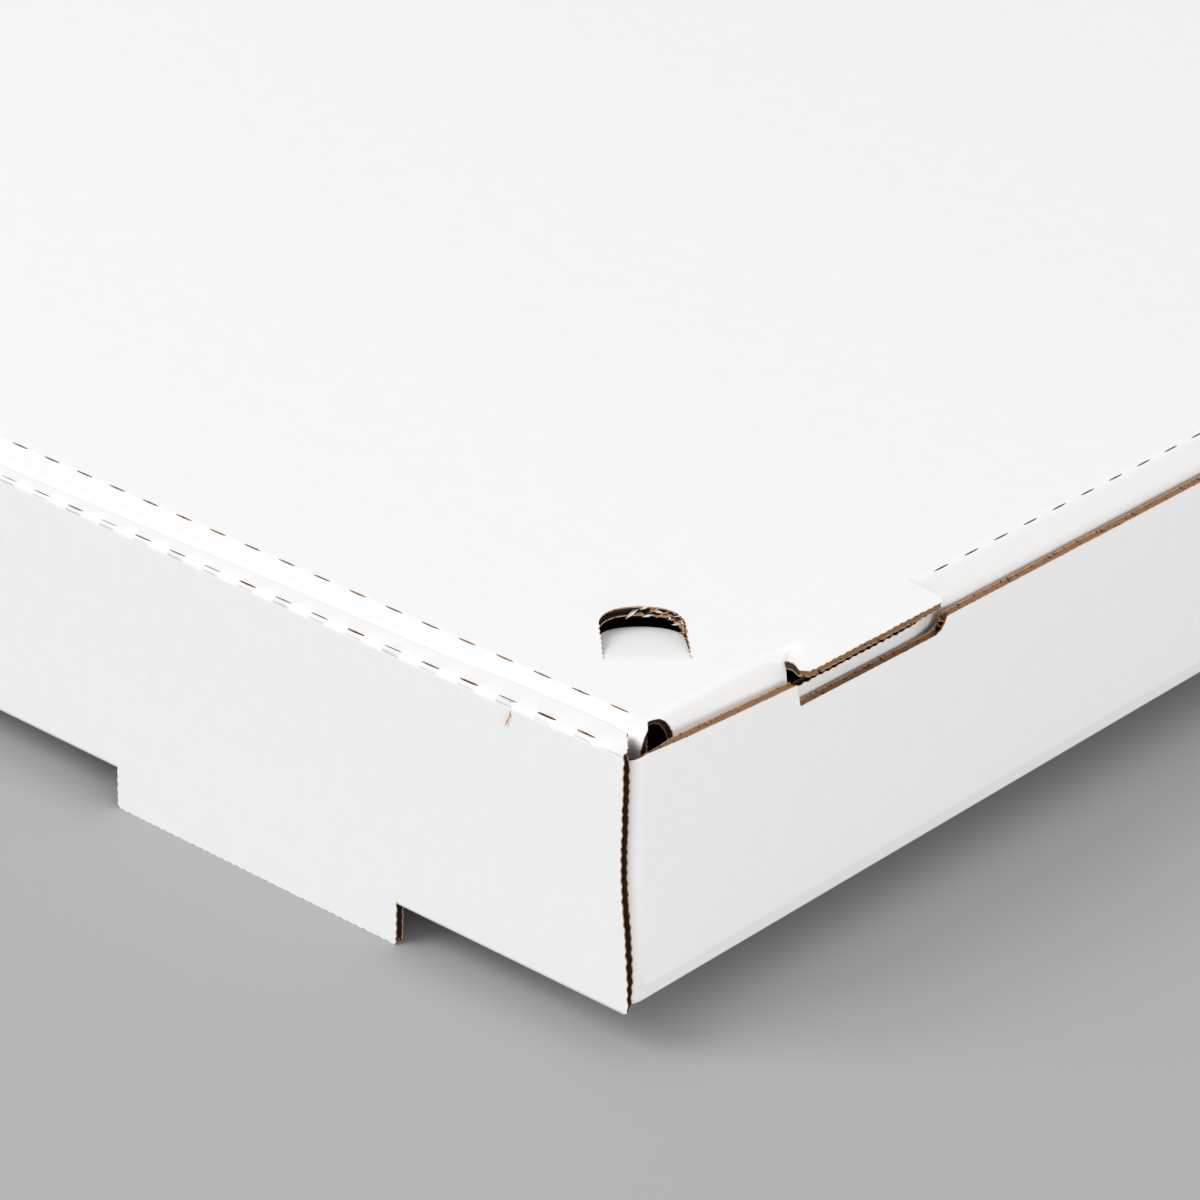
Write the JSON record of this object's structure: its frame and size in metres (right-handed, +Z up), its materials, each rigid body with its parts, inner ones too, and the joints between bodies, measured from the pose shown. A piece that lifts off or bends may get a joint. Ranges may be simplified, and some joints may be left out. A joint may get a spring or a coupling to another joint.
{
  "type": "pizza box",
  "caption": "White corrugated pizza box folded from one die-cut sheet, with a rolled-over front wall, feet, perforated folds and a hinged tuck-in lid with push-in vents.",
  "frame": {"origin": "on the ground under the middle of the closed box", "axes": "+Z up, the front wall faces -Y, the lid hinges along the back wall's top at +Y, and X runs along the hinge"},
  "size_m": [0.3324, 0.33, 0.0474],
  "materials": {
    "board": "matte"
  },
  "bodies": {
    "tray": {"tray": "board"},
    "lid": {"lid": "board"}
  },
  "joints": [
    {"name": "lid_hinge", "type": "hinge", "parent": "tray", "child": "lid", "pos_m": [0, 0.165, 0.0474], "axis": [-1, 0, 0], "range_deg": [0, 180]}
  ]
}
